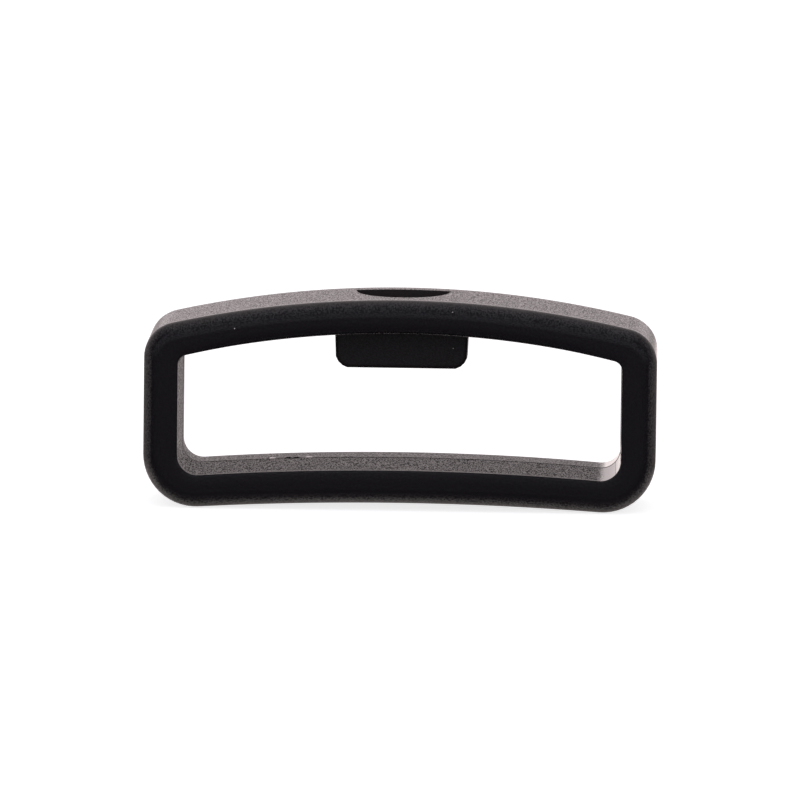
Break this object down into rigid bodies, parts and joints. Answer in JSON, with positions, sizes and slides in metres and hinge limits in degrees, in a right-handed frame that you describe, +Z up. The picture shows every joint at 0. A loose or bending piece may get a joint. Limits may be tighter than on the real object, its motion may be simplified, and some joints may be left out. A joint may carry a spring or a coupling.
{
  "type": "watch strap keeper",
  "caption": "Soft silicone loop that slides along a watch strap and holds its free end, with an inner tooth that locks into a strap hole.",
  "frame": {"origin": "middle of the loop at the level of its two bottom corners, halfway through its depth", "axes": "+X across the strap, +Y along the strap from the front face to the back face, +Z up through the arched top"},
  "size_m": [0.0254, 0.008, 0.0104],
  "materials": {
    "black_silicone": "matte",
    "firm_black_silicone": "matte"
  },
  "bodies": {
    "root": {"strap_loop": "black_silicone", "locking_tooth": "firm_black_silicone"}
  },
  "joints": []
}
